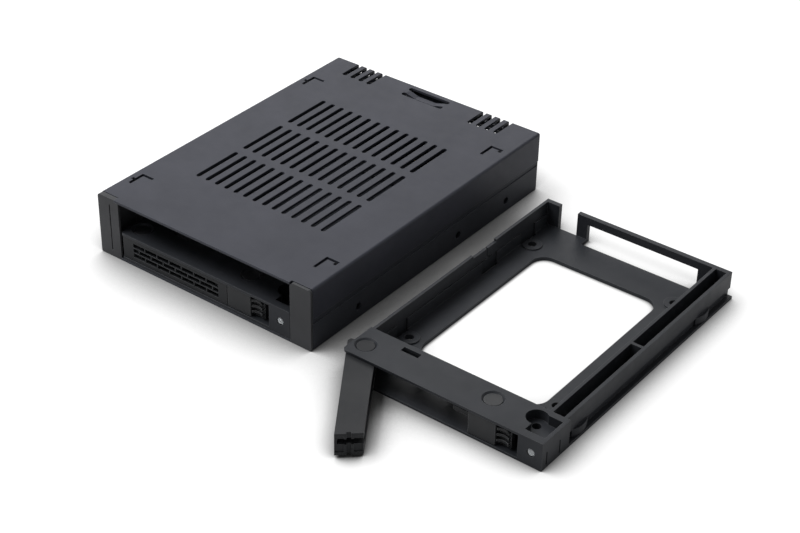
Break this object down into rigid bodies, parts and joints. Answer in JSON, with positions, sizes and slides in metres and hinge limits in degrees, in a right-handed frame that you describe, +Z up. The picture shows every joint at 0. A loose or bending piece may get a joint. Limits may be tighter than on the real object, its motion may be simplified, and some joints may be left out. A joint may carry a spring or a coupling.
{
  "type": "hot swap drive cage",
  "caption": "Slim bay cage that holds stacked sliding drive trays with swing levers and press latches, with a board and sockets at its rear.",
  "frame": {"origin": "on the bottom plane of the cage, at the centre of its footprint and of its four bottom screw holes", "axes": "+X to the right seen from the front, +Y to the back (the sockets' side), +Z up"},
  "size_m": [0.1998, 0.1798, 0.0254],
  "materials": {
    "coated_steel": "satin dark blue-grey powder coat",
    "coated_pan": "satin dark blue-grey powder coat",
    "rail_plastic": "fine moulded black plastic",
    "tray_plastic": "fine moulded black plastic",
    "lever_plastic": "fine moulded black plastic",
    "latch_plastic": "fine moulded black plastic",
    "connector_plastic": "matt black moulding",
    "board": "green solder mask",
    "contact_gold": "gold plated contacts",
    "clear_pipe": "clear polished plastic",
    "lamp": "white lamp body",
    "chip": "black chip package",
    "capacitor": "bare can",
    "screw_steel": "dark zinc plated",
    "spring_steel": "bright spring wire"
  },
  "bodies": {
    "cage": {"top_cover": "coated_steel", "bottom_pan": "coated_pan", "left_rail": "rail_plastic", "right_rail": "rail_plastic", "backplane_board": "board", "lower_drive_socket": "connector_plastic", "lower_socket_contacts": "contact_gold", "upper_drive_socket": "connector_plastic", "upper_socket_contacts": "contact_gold", "data_port_1": "connector_plastic", "data_port_2": "connector_plastic", "power_port": "connector_plastic", "status_lamps": "lamp", "board_chips": "chip", "board_capacitors": "capacitor", "board_screws": "screw_steel", "rail_screws": "screw_steel"},
    "lower_tray": {"lower_tray_frame": "tray_plastic", "lower_light_pipe": "clear_pipe", "lower_latch_spring": "spring_steel", "lower_lever_spring": "spring_steel"},
    "lower_lever": {"lower_lever": "lever_plastic"},
    "lower_latch": {"lower_latch": "latch_plastic"},
    "upper_tray": {"upper_tray_frame": "tray_plastic", "upper_light_pipe": "clear_pipe", "upper_latch_spring": "spring_steel", "upper_lever_spring": "spring_steel"},
    "upper_lever": {"upper_lever": "lever_plastic"},
    "upper_latch": {"upper_latch": "latch_plastic"}
  },
  "joints": [
    {"name": "lower_tray_slide", "type": "slide", "parent": "cage", "child": "lower_tray", "axis": [0, -1, 0], "range_m": [0, 0.13]},
    {"name": "lower_lever_swing", "type": "hinge", "parent": "lower_tray", "child": "lower_lever", "pos_m": [-0.0356, -0.06335, 0.0068], "axis": [0, 0, -1], "range_deg": [0, 56], "deforming": ["lower_lever_spring"]},
    {"name": "lower_latch_press", "type": "hinge", "parent": "lower_tray", "child": "lower_latch", "pos_m": [0.0152, -0.06045, 0.0068], "axis": [0, 0, 1], "range_deg": [0, 8], "stiffness_Nm_per_rad": 0.05, "deforming": ["lower_latch_spring"]},
    {"name": "upper_tray_lift", "type": "slide", "parent": "cage", "child": "upper_tray", "axis": [0, 0, 1], "range_m": [0, 0.05]},
    {"name": "upper_lever_swing", "type": "hinge", "parent": "upper_tray", "child": "upper_lever", "pos_m": [0.0722, -0.06675, 0.0056], "axis": [0, 0, -1], "range_deg": [-56, 0], "stiffness_Nm_per_rad": 0.01, "deforming": ["upper_lever_spring"]},
    {"name": "upper_latch_press", "type": "hinge", "parent": "upper_tray", "child": "upper_latch", "pos_m": [0.123, -0.06385, 0.0056], "axis": [0, 0, 1], "range_deg": [0, 8], "stiffness_Nm_per_rad": 0.05, "deforming": ["upper_latch_spring"]}
  ]
}
